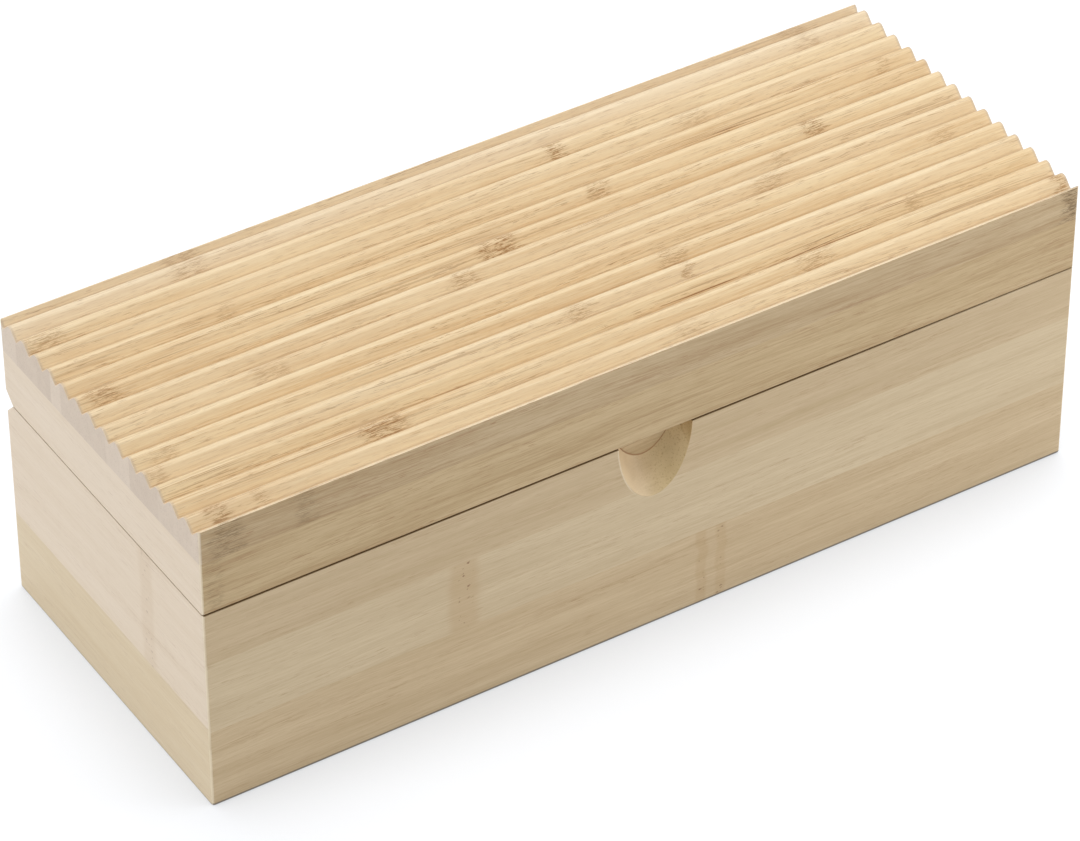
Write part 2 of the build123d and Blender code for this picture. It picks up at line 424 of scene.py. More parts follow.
def weigh_edges(shape, name, low, high):
    """Marks each free, convex arris with its width and each other corner as sharp."""
    weights = shape.edges.layers.float.new("bevel_weight_edge")
    glued = {face for face in shape.faces if on_glue_plane(face, name, low, high)}
    for face in shape.faces:
        face.smooth = True
    for edge in shape.edges:
        if len(edge.link_faces) != 2:
            continue
        corner = edge.calc_face_angle(0) > math.radians(sharp_edge_deg)
        corner = corner or on_scoop_outline(edge, name)
        edge.smooth = not corner
        free = not any(face in glued for face in edge.link_faces)
        if corner and free and edge.is_convex:
            edge[weights] = edge_width(edge, name) / widest_bevel


def add_bevel(piece, width, segments, limit):
    """Rounds the piece's arrises, and keeps the flat faces beside them flat."""
    bevel = piece.modifiers.new("eased_edges", "BEVEL")
    bevel.width = width * MM
    bevel.segments = segments
    bevel.limit_method = limit
    bevel.angle_limit = math.radians(sharp_edge_deg)
    bevel.use_clamp_overlap = limit != "WEIGHT"
    bevel.harden_normals = True


def finished_object(name, shape):
    """An object of the scene that takes over the bmesh."""
    mesh = bpy.data.meshes.new(name + "_finished")
    shape.to_mesh(mesh)
    shape.free()
    piece = bpy.data.objects.new(name + "_finished", mesh)
    bpy.context.scene.collection.objects.link(piece)
    return piece


def wooden_piece(name):
    """A finished piece that stands for one wooden CAD node."""
    node = frame["nodes"][name]
    low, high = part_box(name)
    shape = cleaned(node.data)
    weigh_edges(shape, name, low, high)
    piece = finished_object(name, shape)
    add_bevel(piece, widest_bevel, bevel_segments, "WEIGHT")
    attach(piece, node["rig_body"])
    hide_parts(name)
    return piece


# ---- node trees ----
class Nodes:
    """Short calls that add shader nodes to one tree."""

    def __init__(self, tree):
        self.tree = tree

    def feed(self, socket, value):
        if isinstance(value, bpy.types.NodeSocket):
            self.tree.links.new(value, socket)
        else:
            socket.default_value = value

    def add(self, kind, inputs=None, **settings):
        node = self.tree.nodes.new(kind)
        for key, value in settings.items():
            setattr(node, key, value)
        for key, value in (inputs or {}).items():
            self.feed(node.inputs[key], value)
        return node

    def math(self, operation, *values, clamp=False):
        node = self.add("ShaderNodeMath", operation=operation, use_clamp=clamp)
        for index, value in enumerate(values):
            self.feed(node.inputs[index], value)
        return node.outputs[0]

    def vector(self, operation, *values):
        node = self.add("ShaderNodeVectorMath", operation=operation)
        for index, value in enumerate(values):
            self.feed(node.inputs[index], value)
        return node.outputs[0]

    def ramp(self, value, low, high, start=0.0, end=1.0):
        """Smooth step from start to end as value goes from low to high."""
        inputs = {"Value": value, "From Min": low, "From Max": high, "To Min": start, "To Max": end}
        node = self.add("ShaderNodeMapRange", inputs, interpolation_type="SMOOTHSTEP")
        return node.outputs["Result"]

    def mix(self, share, first, second, blend="MIX"):
        node = self.add("ShaderNodeMix", data_type="RGBA", blend_type=blend)
        self.feed(node.inputs[0], share)
        self.feed(node.inputs[6], first)
        self.feed(node.inputs[7], second)
        return node.outputs[2]

    def noise(self, place, stretch, detail, rough=0.55):
        """Noise of place times stretch, so its grain is 1 / stretch millimetres long."""
        scaled = self.vector("MULTIPLY", place, stretch)
        inputs = {"Vector": scaled, "Scale": 1.0, "Detail": detail, "Roughness": rough}
        return self.add("ShaderNodeTexNoise", inputs).outputs["Fac"]

    def stray(self, place, pattern, reach):
        """Noise that goes up to reach either way."""
        return self.math("MULTIPLY_ADD", self.noise(place, *pattern), 2 * reach, -reach)

    def cells(self, place, randomness):
        """A cell pattern of place, one cell to the unit."""
        inputs = {"Vector": place, "Scale": 1.0, "Randomness": randomness}
        return self.add("ShaderNodeTexVoronoi", inputs).outputs

    def split(self, place):
        return self.add("ShaderNodeSeparateXYZ", {"Vector": place}).outputs

    def join(self, along, across, up):
        return self.add("ShaderNodeCombineXYZ", {"X": along, "Y": across, "Z": up}).outputs[0]

    def coordinates(self, kind):
        return self.add("ShaderNodeTexCoord").outputs[kind]

    def add_group(self, group, inputs):
        return self.add("ShaderNodeGroup", inputs, node_tree=group).outputs

    def surface(self, shader):
        """Makes the shader the look of the material."""
        self.add("ShaderNodeOutputMaterial", {"Surface": shader.outputs["BSDF"]})


def new_group(name, inputs, outputs):
    """An empty node group with the given sockets, and its input and output nodes."""
    group = bpy.data.node_groups.new(name, "ShaderNodeTree")
    for label, kind in inputs:
        group.interface.new_socket(label, in_out="INPUT", socket_type="NodeSocket" + kind)
    for label, kind in outputs:
        group.interface.new_socket(label, in_out="OUTPUT", socket_type="NodeSocket" + kind)
    nodes = Nodes(group)
    return group, nodes, nodes.add("NodeGroupInput").outputs, nodes.add("NodeGroupOutput").inputs


def new_material(name):
    """An empty material, and calls that add nodes to it."""
    material = bpy.data.materials.new(name)
    material.use_nodes = True
    material.node_tree.nodes.clear()
    return material, Nodes(material.node_tree)


# ---- bamboo ----
# Places are in millimetres in grain space: X along the grain, Y and Z across it.
def grain_group():
    """Bamboo's long grain: soft tone bands, fibres, short dark dashes and brown streaks."""
    inputs = [
        ("Place", "Vector"), ("Seed", "Vector"), ("Light", "Color"), ("Dark", "Color"),
        ("Streak", "Color"), ("Stain", "Color"), ("Streaks", "Float"), ("Mark", "Float"),
        ("Contrast", "Float"),
    ]
    outputs = [("Color", "Color"), ("Height", "Float"), ("Rough", "Float")]
    group, nodes, given, result = new_group("bamboo_grain", inputs, outputs)

    place = nodes.vector("ADD", given["Place"], given["Seed"])
    drift = nodes.stray(place, DRIFT, drift_reach)
    place = nodes.vector("ADD", place, nodes.join(0.0, drift, drift))
    fibres = nodes.noise(place, *FIBRES)
    threads = nodes.noise(place, *THREADS)
    field = nodes.ramp(nodes.noise(place, *FIELD), *field_rise)

    share = plain_tone(nodes, place, fibres, threads, given["Contrast"])
    colour = nodes.mix(share, given["Light"], given["Dark"])
    dark = dark_details(nodes, place, field, given["Streaks"], given["Contrast"])
    colour = nodes.mix(dark, colour, given["Streak"])

    speckle = nodes.ramp(nodes.noise(place, *SPECKLE), *speckle_rise)
    stain = nodes.math("MULTIPLY_ADD", speckle, *stain_strength)
    mark = nodes.math("MULTIPLY", given["Mark"], stain, clamp=True)
    nodes.feed(result["Color"], nodes.mix(mark, colour, given["Stain"]))

    dark = nodes.math("MAXIMUM", dark, mark)
    height = nodes.math("MULTIPLY_ADD", dark, dark_dent, nodes.math("ADD", fibres, threads))
    nodes.feed(result["Height"], height)
    nodes.feed(result["Rough"], nodes.math("MULTIPLY_ADD", fibres, *wood_roughness))
    return group


def plain_tone(nodes, place, fibres, threads, contrast):
    """Share of the dark tone, from fibres, wide bands and fine threads."""
    bands = nodes.noise(place, *BANDS)
    share = plain_share
    for pattern, swing in ((fibres, fibre_swing), (bands, band_swing), (threads, thread_swing)):
        change = nodes.math("SUBTRACT", pattern, noise_middle)
        share = nodes.math("MULTIPLY_ADD", change, swing, share)
    change = nodes.math("SUBTRACT", share, plain_share)
    return nodes.math("MULTIPLY_ADD", change, contrast, plain_share, clamp=True)


def dark_details(nodes, place, field, streaks, contrast):
    """The darkest of long streaks, short dashes and fine hairs, which are denser in some fields."""
    lines = nodes.ramp(nodes.noise(place, *LINES), *line_rise)
    streaks = nodes.math("MULTIPLY", nodes.math("MULTIPLY", lines, field), streaks)
    dashes = nodes.ramp(nodes.noise(place, *DASHES), *dash_rise)
    dashes = nodes.math("MULTIPLY", dashes, nodes.math("MULTIPLY_ADD", field, *dash_strength))
    dashes = nodes.math("MULTIPLY", dashes, contrast)
    hairs = nodes.ramp(nodes.noise(place, *HAIRS), *hair_rise)
    hairs = nodes.math("MULTIPLY", hairs, nodes.math("MULTIPLY_ADD", field, *hair_strength))
    hairs = nodes.math("MULTIPLY", hairs, contrast)
    return nodes.math("MAXIMUM", dashes, nodes.math("MAXIMUM", streaks, hairs), clamp=True)


def half_widths_away(nodes, given, ragged):
    """Distance along the grain from the middle of a node mark, counted in its half widths."""
    along = nodes.math("SUBTRACT", nodes.split(given["Place"])[0], given["At"])
    away = nodes.math("ABSOLUTE", nodes.math("ADD", along, ragged))
    return nodes.math("DIVIDE", away, given["Half"])


def mark_group():
    """One node of the cane: a ragged band across the grain, with soft tails beside it."""
    inputs = [("Place", "Vector"), ("At", "Float"), ("Half", "Float"), ("Strength", "Float")]
    group, nodes, given, result = new_group("bamboo_node_mark", inputs, [("Mark", "Float")])
    ragged = nodes.stray(given["Place"], RAGGED, ragged_reach)
    away = half_widths_away(nodes, given, ragged)
    band = nodes.ramp(away, *mark_fade, 1.0, 0.0)
    tail = nodes.ramp(away, *tail_fade, tail_strength, 0.0)
    lines = nodes.ramp(nodes.noise(given["Place"], *TAIL_LINES), *tail_line_rise)
    tail = nodes.math("MULTIPLY", tail, lines)
    mask = nodes.math("MULTIPLY", nodes.math("MAXIMUM", band, tail), given["Strength"])
    nodes.feed(result["Mark"], mask)
    return group


def wide_mark_group():
    """A node on a flat strip's face: a tan band with small red-brown dots in it."""
    inputs = [("Place", "Vector"), ("At", "Float"), ("Half", "Float"), ("Strength", "Float")]
    outputs = [("Band", "Float"), ("Dots", "Float")]
    group, nodes, given, result = new_group("bamboo_wide_node_mark", inputs, outputs)
    ragged = nodes.stray(given["Place"], WIDE_RAGGED, wide_ragged_reach)
    away = half_widths_away(nodes, given, ragged)
    band = nodes.ramp(away, *wide_fade, 1.0, 0.0)
    zone = nodes.ramp(away, *dot_zone, 1.0, 0.0)
    dots = nodes.math("MULTIPLY", dot_mask(nodes, given["Place"]), zone)
    nodes.feed(result["Band"], nodes.math("MULTIPLY", band, given["Strength"]))
    nodes.feed(result["Dots"], nodes.math("MULTIPLY", dots, given["Strength"]))
    return group


def dot_mask(nodes, place):
    """Share from 0 to 1 of small dots of uneven size, one at most in each cell."""
    warp = nodes.stray(place, DOT_WARP, dot_warp_reach)
    place = nodes.vector("ADD", nodes.vector("MULTIPLY", place, dot_cells), nodes.join(warp, 0.0, warp))
    dots = nodes.cells(place, 1.0)
    size = nodes.add("ShaderNodeSeparateColor", {"Color": dots["Color"]}).outputs[0]
    reach = nodes.ramp(size, *dot_sizes, 0.0, largest_dot)
    inside = nodes.math("SUBTRACT", reach, dots["Distance"])
    return nodes.ramp(inside, 0.0, dot_soft_edge, 0.0, dot_strength)


def end_grain_group():
    """The sawn end of a glued board: greyer, with fibre bundles as dots and a tone for each block."""
    inputs = [("Place", "Vector"), ("Light", "Color"), ("Dark", "Color")]
    group, nodes, given, result = new_group("bamboo_end_grain", inputs, [("Color", "Color")])
    bundles = nodes.cells(nodes.vector("MULTIPLY", given["Place"], bundle_cells), bundle_randomness)
    dots = nodes.ramp(bundles["Distance"], *bundle_fade, bundle_strength, 0.0)
    tone = end_block_tone(nodes, nodes.split(given["Place"])[1])
    cloud = nodes.math("SUBTRACT", nodes.noise(given["Place"], *END_CLOUD), noise_middle)
    share = nodes.math("MULTIPLY_ADD", cloud, end_cloud_swing, tone)
    share = nodes.math("ADD", share, dots, clamp=True)
    nodes.feed(result["Color"], nodes.mix(share, given["Light"], given["Dark"]))
    return group


def end_block_tone(nodes, across):
    """Darkness of each glued block of the ribbed board, by its distance from the rear face in mm."""
    from_rear = nodes.math("SUBTRACT", rear_y / MM, across)
    share = nodes.math("DIVIDE", from_rear, (rear_y - front_y) / MM)
    ramp = nodes.add("ShaderNodeValToRGB", {"Fac": share})
    ramp.color_ramp.interpolation = "CONSTANT"
    stops = ramp.color_ramp.elements
    for index, (start, tone) in enumerate(end_blocks):
        stop = stops[index] if index < 2 else stops.new(start)
        stop.position = start
        stop.color = (tone, tone, tone, 1.0)
    return ramp.outputs["Color"]


def rib_looks():
    """Tone, streaks and node marks of each rib, from the front. Marks are shares of the length."""
    return [
        dict(tone=LINEN, front=FRONT_SHADE, stain=DARK_MARK, streaks=0.45, tilt=0.022,
             marks=[(0.03, 6, 0.7), (0.115, 4, 0.45), (0.99, 4, 1.0)]),
        dict(tone=BUTTER, streaks=0.45, tilt=0.022,
             marks=[(0.032, 4, 0.8), (0.078, 3, 0.45), (0.55, 6, 0.30), (0.99, 3, 0.8)]),
        dict(tone=HONEY, streaks=0.45, marks=[(0.225, 9, 0.85), (0.715, 8, 0.55)],
             zones=[(0.05, 0.30, 0.4), (0.80, 0.92, 0.3)]),
        dict(tone=WARM, streaks=0.45, marks=[(0.85, 3, 0.5)],
             zones=[(0.0, 0.08, 0.6), (0.29, 0.86, 0.9)]),
        dict(tone=BUTTER, streaks=0.40, marks=[(0.475, 5, 0.5), (0.60, 2, 0.6), (0.01, 4, 0.4)]),
        dict(tone=HONEY, streaks=0.40, marks=[(0.03, 5, 0.35), (0.60, 5, 0.6)]),
        dict(tone=HONEY, streaks=0.25, marks=[(0.94, 6, 0.35)]),
        dict(tone=BUTTER, streaks=0.25, marks=[(0.18, 7, 0.35), (0.75, 7, 0.45)]),
        dict(tone=BUTTER, streaks=0.40, marks=[(0.41, 6, 0.6), (0.78, 3, 0.4)],
             zones=[(0.40, 0.62, 0.6)]),
        dict(tone=HONEY, streaks=0.40, marks=[(0.03, 6, 0.75), (0.465, 8, 0.95), (0.84, 5, 0.85)]),
        dict(tone=HONEY, streaks=0.45, marks=[(0.60, 5, 0.7)], zones=[(0.0, 0.34, 0.5)]),
        dict(tone=HONEY, streaks=0.40, marks=[(0.19, 4, 0.35), (0.96, 3, 0.5)],
             zones=[(0.70, 0.88, 0.8)]),
        dict(tone=BUTTER, streaks=0.30, marks=[(0.745, 6, 0.4)]),
        dict(tone=BUTTER, streaks=0.35, marks=[(0.02, 8, 0.55), (0.60, 4, 0.85)]),
        dict(tone=LINEN, streaks=0.30, marks=[(0.195, 7, 0.4), (0.92, 5, 0.35)]),
    ]


def board_looks():
    """Tone, streaks, contrast and node marks of every other wooden node."""
    looks = {
        "body_front_wall_upper_strip": dict(contrast=0.6, tone=SAND, streaks=0.22),
        "body_front_wall_middle_strip": dict(
            contrast=0.6, tone=CREAM, streaks=0.15, wide=[(0.282, 6.0, 0.9)]
        ),
        "body_front_wall_lower_strip": dict(
            contrast=0.6, tone=OAT, streaks=0.22, wide=[(0.555, 2.2, 0.8), (0.578, 2.2, 0.7)]
        ),
        "body_rear_wall_upper_strip": dict(tone=SAND, streaks=0.30, wide=[(0.71, 4.5, 0.6)]),
        "body_rear_wall_middle_strip": dict(tone=SAND, streaks=0.25, wide=[(0.36, 5.0, 0.7)]),
        "body_rear_wall_lower_strip": dict(tone=STRAW, streaks=0.30, wide=[(0.84, 4.5, 0.6)]),
        "body_left_wall_upper_strip": dict(
            contrast=0.4, tone=PALE_SHEEN, streaks=0.08, wide=[(0.29, 4.5, 0.35)]
        ),
        "body_left_wall_lower_strip": dict(contrast=0.4, tone=STRAW, streaks=0.10),
        "body_right_wall_upper_strip": dict(tone=STRAW, streaks=0.15, wide=[(0.62, 4.5, 0.4)]),
        "body_right_wall_lower_strip": dict(tone=SAND, streaks=0.15),
        "lid_front_rail": dict(tone=OLIVE, stain=DARK_MARK, streaks=0.35, marks=[(0.012, 3, 0.35)]),
        "lid_rear_rail": dict(tone=SAND, streaks=0.35, marks=[(0.44, 5, 0.5)]),
        "lid_left_rail": dict(contrast=0.4, tone=PALE_SHEEN, streaks=0.06),
        "lid_right_rail": dict(tone=STRAW, streaks=0.10),
        "locating_strip_front": dict(tone=OLIVE, streaks=0.30, marks=[(0.70, 4, 0.5)]),
        "locating_strip_rear": dict(tone=SAND, streaks=0.30, marks=[(0.25, 4, 0.5)]),
        "locating_strip_left": dict(tone=SAND, streaks=0.25),
        "locating_strip_right": dict(tone=SAND, streaks=0.25),
        "body_bottom_panel": dict(
            tone=STRAW, streaks=0.35, wide=[(0.18, 5.0, 0.6), (0.77, 5.0, 0.5)]
        ),
    }
    for index, look in enumerate(rib_looks()):
        looks[f"lid_rib_strip_{index + 1:02d}"] = look
    return looks


def runs_across(name):
    """True for pieces whose grain runs front to back."""
    return "_left_" in name + "_" or "_right_" in name + "_"


def grain_place(nodes, name):
    """Millimetres in grain space, from the object's own coordinates."""
    place = nodes.vector("MULTIPLY", nodes.coordinates("Object"), (1 / MM, 1 / MM, 1 / MM))
    if not runs_across(name):
        return place
    along, across, up = nodes.split(place)
    return nodes.join(across, along, up)


def tilted(nodes, place, slope):
    """Grain space whose fibres climb by slope along the piece."""
    along, across, up = nodes.split(place)
    return nodes.join(along, across, nodes.math("MULTIPLY_ADD", along, slope, up))


def streak_amount(nodes, place, name, look):
    """How streaky the grain is: the piece's own amount, and more within its streaky zones."""
    amount = look["streaks"]
    along = nodes.split(place)[0]
    for start, end, strength in look.get("zones", []):
        first = mark_place(name, start)
        last = mark_place(name, end)
        rise = nodes.ramp(along, first - zone_fade, first + zone_fade)
        fall = nodes.ramp(along, last - zone_fade, last + zone_fade, 1.0, 0.0)
        inside = nodes.math("MULTIPLY", rise, fall)
        amount = nodes.math("MULTIPLY_ADD", inside, strength, amount)
    return amount


def worn_edge_highlight(nodes, name):
    """Share from 0 to 1 of the rounded arrises, where the wood is paled partly by wear and partly as a
    painted highlight.
    """
    along, across, up = nodes.split(nodes.vector("ABSOLUTE", nodes.coordinates("Normal")))
    flattest = nodes.math("MAXIMUM", nodes.math("MAXIMUM", along, across), up)
    rounded = nodes.ramp(flattest, *rounded_facing, 1.0, 0.0)
    if name.startswith("lid_rib_") or "_rear_" in name:
        level = nodes.ramp(nodes.math("MAXIMUM", along, up), *slanted_facing)
        at_end = nodes.math("MULTIPLY", nodes.ramp(along, *slanted_facing), level)
        rounded = nodes.math("MULTIPLY", rounded, at_end)
    patches = nodes.noise(nodes.coordinates("Object"), *PATCHES)
    return nodes.math("MULTIPLY", rounded, nodes.ramp(patches, *patch_rise, *rub_highlight_range))


def mark_place(name, share):
    """Millimetre coordinate along the grain of a mark given as a share of the piece's length."""
    low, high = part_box(name)
    if runs_across(name):
        return (low.y + share * (high.y - low.y)) / MM
    return (low.x + share * (high.x - low.x)) / MM


def lay_mark(nodes, group, place, name, mark):
    """One node mark of the piece, given by its place along it, half width and strength."""
    share, half, strength = mark
    inputs = {
        "Place": place, "At": mark_place(name, share), "Half": float(half), "Strength": strength
    }
    return nodes.add_group(group, inputs)


def add_marks(nodes, groups, place, name, look):
    """The darkest of the piece's narrow node marks."""
    total = 0.0
    for mark in look.get("marks", []):
        laid = lay_mark(nodes, groups["mark"], place, name, mark)
        total = nodes.math("MAXIMUM", total, laid["Mark"])
    return total


def add_wide_marks(nodes, groups, place, name, look, colour):
    """Lays the piece's wide node marks over its colour."""
    for mark in look.get("wide", []):
        laid = lay_mark(nodes, groups["wide_mark"], place, name, mark)
        band = nodes.math("MULTIPLY", laid["Band"], wide_strength)
        colour = nodes.mix(band, colour, TAN)
        colour = nodes.mix(laid["Dots"], colour, RED_BROWN)
    return colour


def valley_shade(nodes, place):
    """Painted shade in the narrow valleys between the ribs, from 0 to 1, on faces that look upwards."""
    height = nodes.split(place)[2]
    depth = nodes.ramp(height, valley_floor, valley_floor + valley_shade_depth, 1.0, 0.0)
    upward = nodes.split(nodes.coordinates("Normal"))[2]
    return nodes.math("MULTIPLY", depth, nodes.ramp(upward, *upward_facing))


def end_cap(nodes, place):
    """Share from 0 to 1 of the greyer wood at the very ends of the ribs."""
    from_middle = nodes.math("ABSOLUTE", nodes.split(place)[0])
    from_end = nodes.math("SUBTRACT", cad_high.x / MM, from_middle)
    return nodes.ramp(from_end, *cap_fade, cap_strength, 0.0)


def add_end_grain(nodes, groups, place, colour):
    """Shows the end grain on faces that look along the grain."""
    facing = nodes.math("ABSOLUTE", nodes.split(nodes.coordinates("Normal"))[0])
    end = nodes.add_group(groups["end"], {"Place": place, "Light": END[0], "Dark": END[1]})
    return nodes.mix(nodes.ramp(facing, *end_facing), colour, end["Color"])


def scoop_distance(nodes, place):
    """Distance in millimetres from the axis of the finger scoop's round cutter."""
    along, across, up = nodes.split(place)
    lean = math.radians(scoop_lean_deg)
    back = nodes.math("MULTIPLY", nodes.math("SUBTRACT", across, front_y / MM), math.cos(lean))
    drop = nodes.math("MULTIPLY", nodes.math("SUBTRACT", up, scoop_axis_z), math.sin(lean))
    aside = nodes.math("SUBTRACT", back, drop)
    along_squared = nodes.math("MULTIPLY", along, along)
    aside_squared = nodes.math("MULTIPLY", aside, aside)
    return nodes.math("SQRT", nodes.math("ADD", along_squared, aside_squared))


def scoop_shade_and_highlight(nodes, place, colour):
    """Painted shade with some browner stain on the scoop's round surface, most of all at its right, and
    a painted highlight on its left rim.
    """
    along = nodes.split(place)[0]
    radius = scoop_distance(nodes, place)
    # Painted highlight along the scoop's left rim.
    rim = nodes.ramp(radius, *scoop_highlight_fade, 1.0, 0.0)
    rim = nodes.math("MULTIPLY", rim, nodes.ramp(along, *scoop_highlight_span, scoop_highlight_strength, 0.0))
    colour = nodes.mix(rim, colour, RUBBED_HIGHLIGHT)
    # Painted shade and stain, deeper towards the right.
    right = nodes.ramp(along, *scoop_shade_span)
    shaded_and_stained = nodes.mix(1.0, colour, nodes.mix(right, *SCOOP_SHADE), blend="MULTIPLY")
    specks = nodes.noise(place, *SCOOP_SPECKS)
    specks = nodes.ramp(specks, *scoop_speck_rise, 0.0, scoop_speck_strength)
    shaded_and_stained = nodes.mix(nodes.math("MULTIPLY", specks, right), shaded_and_stained, BROWN)
    inside = nodes.ramp(radius, *scoop_surface_fade, 1.0, 0.0)
    return nodes.mix(inside, colour, shaded_and_stained)


def scoop_joint_line(nodes, place):
    """Share from 0 to 1 of the dark line round the scoop, where the wall meets the strip behind."""
    radius = scoop_distance(nodes, place)
    across, up = nodes.split(place)[1:]
    inner = nodes.ramp(radius, scoop_radius - joint_line_width, scoop_radius - joint_line_width / 2)
    outer_edge = scoop_radius + joint_line_width
    outer = nodes.ramp(radius, scoop_radius, outer_edge, joint_line_strength, 0.0)
    on_front = nodes.math("LESS_THAN", across, locator_front_y + joint_line_margin)
    below_rim = nodes.math("LESS_THAN", up, body_top / MM)
    line = nodes.math("MULTIPLY", inner, outer)
    return nodes.math("MULTIPLY", line, nodes.math("MULTIPLY", on_front, below_rim))


def seam_strength(nodes, place, name):
    """Darkness of the seam's painted shade line on this piece."""
    if runs_across(name):
        return seam_end_strength
    return nodes.ramp(nodes.split(place)[0], *seam_fade_span, *seam_strengths)


def seam_shade(nodes, place, name):
    """Share from 0 to 1 of the painted shade line in the seam, on the outermost part of the facing
    rims.
    """
    along, across, up = nodes.split(nodes.vector("ABSOLUTE", place))
    if runs_across(name):
        along, across = across, along
    from_end = nodes.math("SUBTRACT", cad_high.x / MM, along)
    from_side = nodes.math("SUBTRACT", cad_high.y / MM, across)
    from_face = nodes.math("MINIMUM", from_end, from_side)
    strength = seam_strength(nodes, place, name)
    outermost = nodes.ramp(from_face, seam_line_depth, 2 * seam_line_depth, strength, 0.0)
    if name.startswith("lid_"):
        upward = nodes.split(nodes.coordinates("Normal"))[2]
        return nodes.math("MULTIPLY", outermost, nodes.ramp(upward, *downward_facing, 1.0, 0.0))
    rim = body_top / MM
    at_rim = nodes.ramp(up, rim - seam_line_low, rim - seam_line_high)
    return nodes.math("MULTIPLY", outermost, at_rim)


def foot_shade(nodes, place, name):
    """Share from 0 to 1 of the painted contact shadow where the walls stand on the table."""
    strength = foot_end_strength if runs_across(name) else foot_strength
    return nodes.ramp(nodes.split(place)[2], *foot_fade, strength, 0.0)


def grain_tones(nodes, look):
    """Light and dark tone. A piece with a front tone wears it on the face that looks forward, as
    painted shade.
    """
    light, dark = look["tone"]
    if "front" not in look:
        return light, dark
    across = nodes.split(nodes.coordinates("Normal"))[1]
    forward = nodes.ramp(across, *forward_facing, 1.0, 0.0)
    return nodes.mix(forward, light, look["front"][0]), nodes.mix(forward, dark, look["front"][1])


def grain_of(nodes, groups, place, name, look, seed):
    """Colour, height and roughness of the piece's grain, with its narrow node marks."""
    light, dark = grain_tones(nodes, look)
    inputs = {
        "Place": tilted(nodes, place, look.get("tilt", 0.0)), "Seed": seed,
        "Light": light, "Dark": dark, "Streak": BROWN, "Stain": look.get("stain", MARK),
        "Streaks": streak_amount(nodes, place, name, look), "Contrast": look.get("contrast", 1.0),
        "Mark": add_marks(nodes, groups, place, name, look),
    }
    return nodes.add_group(groups["grain"], inputs)


def bamboo_material(name, look, groups, seed):
    """Lacquered bamboo for one piece, with its own tone, seed and marks."""
    material, nodes = new_material("bamboo_" + name)
    place = grain_place(nodes, name)
    grain = grain_of(nodes, groups, place, name, look, seed)
    colour = add_wide_marks(nodes, groups, place, name, look, grain["Color"])
    if name.startswith("lid_rib_"):
        # Painted shade, in brown, low in the valleys between the ribs.
        valley_shadow_share = nodes.math("MULTIPLY", valley_shade(nodes, place), valley_shade_strength)
        colour = nodes.mix(valley_shadow_share, colour, BROWN)
        colour = nodes.mix(end_cap(nodes, place), colour, END[1])
        colour = add_end_grain(nodes, groups, place, colour)
    # Paler rounded arrises: wear and a painted highlight.
    worn_highlight = nodes.math("MULTIPLY", worn_edge_highlight(nodes, name), rub_highlight_strength)
    colour = nodes.mix(worn_highlight, colour, RUBBED_HIGHLIGHT)
    if name in ("body_front_wall_upper_strip", "body_front_wall_middle_strip"):
        # Painted shade and highlight in the finger scoop.
        colour = scoop_shade_and_highlight(nodes, place, colour)
    if name.endswith("_wall_lower_strip"):
        # Painted contact shadow at the foot.
        colour = nodes.mix(foot_shade(nodes, place, name), colour, FOOT_SHADOW_GREY)
    if name == "locating_strip_front":
        colour = nodes.mix(scoop_joint_line(nodes, place), colour, BROWN)
    if name.endswith("_rail") or (name.startswith("body_") and name.endswith("_upper_strip")):
        # Painted shade along the seam.
        colour = nodes.mix(seam_shade(nodes, place, name), colour, SEAM_SHADE_BROWN)
    finish_wood(nodes, colour, grain["Rough"], grain["Height"])
    return material


def finish_wood(nodes, colour, rough, height):
    """Satin lacquer over the grain."""
    inputs = {"Height": height, "Strength": wood_bump, "Distance": wood_bump_height}
    bump = nodes.add("ShaderNodeBump", inputs)
    shader = nodes.add("ShaderNodeBsdfPrincipled")
    nodes.feed(shader.inputs["Base Color"], colour)
    nodes.feed(shader.inputs["Roughness"], rough)
    nodes.feed(shader.inputs["Normal"], bump.outputs["Normal"])
    shader.inputs["Specular IOR Level"].default_value = lacquer_specular
    shader.inputs["Coat Weight"].default_value = lacquer_coat
    shader.inputs["Coat Roughness"].default_value = lacquer_coat_roughness
    nodes.surface(shader)


def dress_wood():
    """Finished pieces and materials for every wooden node."""
    groups = {
        "grain": grain_group(), "mark": mark_group(), "wide_mark": wide_mark_group(),
        "end": end_grain_group(),
    }
    for index, (name, look) in enumerate(sorted(board_looks().items())):
        piece = wooden_piece(name)
        seed = (317.0 * index, 41.7 * index, 23.9 * index)
        piece.data.materials.append(bamboo_material(name, look, groups, seed))


# ---- brass ----
def brass_material(name, colour, rough):
    """Satin brass: drawn lines along the leaf and slight tarnish."""
    material, nodes = new_material(name)
    place = nodes.vector("MULTIPLY", nodes.coordinates("Object"), (1 / MM, 1 / MM, 1 / MM))
    lines = nodes.noise(place, *BRASS_LINES)
    tarnish = nodes.ramp(nodes.noise(place, *BRASS_CLOUD), *tarnish_rise, 0.0, tarnish_strength)
    dull = tuple(tarnish_dark * value for value in colour[:3]) + (1.0,)
    inputs = {"Height": lines, "Strength": brass_bump, "Distance": brass_bump_height}
    bump = nodes.add("ShaderNodeBump", inputs)
    shader = nodes.add("ShaderNodeBsdfPrincipled")
    nodes.feed(shader.inputs["Base Color"], nodes.mix(tarnish, colour, dull))
    roughness = nodes.math("MULTIPLY_ADD", lines, brass_line_roughness, rough)
    nodes.feed(shader.inputs["Roughness"], roughness)
    nodes.feed(shader.inputs["Normal"], bump.outputs["Normal"])
    shader.inputs["Metallic"].default_value = 1.0
    nodes.surface(shader)
    return material


def metal_shape(node):
    """A bmesh of a brass CAD node, smooth but for its sharp edges."""
    shape = cleaned(node.data)
    for face in shape.faces:
        face.smooth = True
    for edge in shape.edges:
        edge.smooth = edge.calc_face_angle(0) < math.radians(sharp_edge_deg)
    return shape


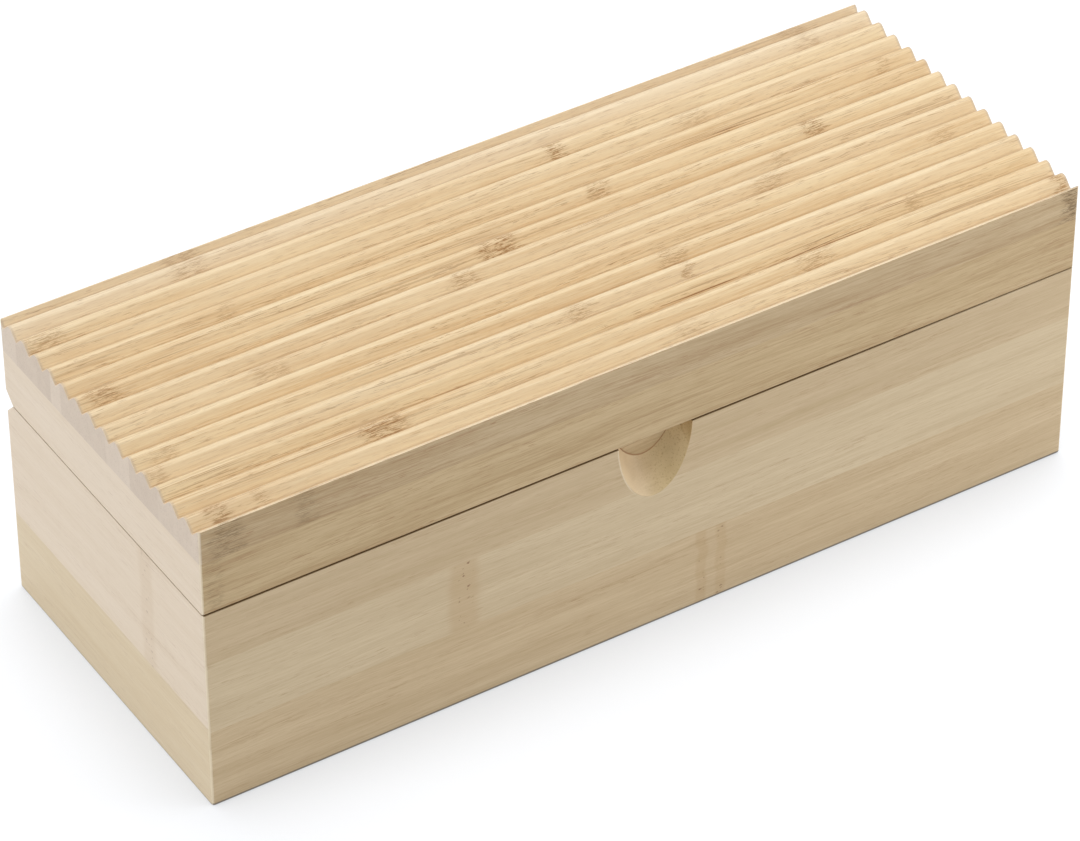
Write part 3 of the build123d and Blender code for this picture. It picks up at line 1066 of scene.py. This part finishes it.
def dress_metal():
    """Finished pieces for the hinges and their screws."""
    materials = {
        "hinge_brass": brass_material("satin_brass", HINGE_BRASS, hinge_roughness),
        "screw_brass": brass_material("screw_brass_satin", SCREW_BRASS, screw_roughness),
    }
    for name, node in frame["nodes"].items():
        slot = node.data.materials[0].name
        if slot not in materials:
            continue
        piece = finished_object(name, metal_shape(node))
        add_bevel(piece, metal_bevel, metal_bevel_segments, "ANGLE")
        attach(piece, node["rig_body"])
        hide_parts(name)
        piece.data.materials.append(materials[slot])


# ---- stage ----
def floor_material():
    """Near-white paper that glows a little, so that its shadows stay pale; its glow is dimmed near the
    box as a painted shadow.
    """
    material, nodes = new_material("floor_paper")
    open_sky = nodes.add("ShaderNodeAmbientOcclusion", {"Distance": shade_reach}).outputs["AO"]
    glow = nodes.ramp(open_sky, *beside_shade)
    contact = nodes.ramp(open_sky, *contact_shade)
    shader = nodes.add("ShaderNodeBsdfPrincipled")
    shader.inputs["Base Color"].default_value = floor_colour
    shader.inputs["Roughness"].default_value = floor_roughness
    shader.inputs["Specular IOR Level"].default_value = floor_specular
    shader.inputs["Emission Color"].default_value = floor_glow_colour
    nodes.feed(shader.inputs["Emission Strength"], nodes.math("MULTIPLY", glow, contact))
    nodes.surface(shader)
    return material


def add_floor():
    """Plain studio floor."""
    bpy.ops.mesh.primitive_circle_add(
        vertices=floor_corners, radius=floor_radius, fill_type="NGON", location=(0, 0, 0)
    )
    floor = bpy.context.object
    floor.name = "floor"
    floor.data.materials.append(floor_material())


def add_area_light(name, place, size, power, colour):
    """A square soft light aimed at the middle of the box."""
    light = bpy.data.lights.new(name, "AREA")
    light.shape = "SQUARE"
    light.size = size
    light.energy = power
    light.color = colour
    lamp = bpy.data.objects.new(name, light)
    lamp.location = place
    aim = Vector((0, 0, lid_top / 2)) - Vector(place)
    lamp.rotation_euler = aim.to_track_quat("-Z", "Y").to_euler()
    bpy.context.scene.collection.objects.link(lamp)


def add_lights():
    """Large soft lights: the main one overhead, weak ones at the left and the front right."""
    for soft_light in soft_lights:
        add_area_light(*soft_light)
    world = bpy.data.worlds.new("studio")
    bpy.context.scene.world = world
    world.use_nodes = True
    background = world.node_tree.nodes["Background"]
    background.inputs["Color"].default_value = sky_colour
    background.inputs["Strength"].default_value = sky_strength


def add_camera():
    """Camera at the viewing angle of the product shot, with a long lens."""
    heading = math.radians(camera_heading_deg)
    down = math.radians(camera_down_deg)
    roll = math.radians(camera_roll_deg)
    forward = Vector((
        math.cos(down) * math.sin(heading), math.cos(down) * math.cos(heading), -math.sin(down)
    ))
    level_right = forward.cross(Vector((0, 0, 1))).normalized()
    level_up = level_right.cross(forward)
    right = level_right * math.cos(roll) + level_up * math.sin(roll)
    up = right.cross(forward)
    camera = bpy.data.cameras.new("camera")
    camera.lens = camera_lens_mm
    camera.sensor_width = camera_sensor_mm
    camera.sensor_fit = "HORIZONTAL"
    camera.clip_start = camera_near
    camera.clip_end = camera_far
    viewer = bpy.data.objects.new("camera", camera)
    bpy.context.scene.collection.objects.link(viewer)
    rotation = Matrix((right, up, -forward)).transposed()
    place = cad_low + camera_place * box_length
    viewer.matrix_world = Matrix.Translation(place) @ rotation.to_4x4()
    bpy.context.scene.camera = viewer


bpy.context.scene.view_settings.view_transform = "Standard"
dress_wood()
dress_metal()
add_floor()
add_lights()
add_camera()
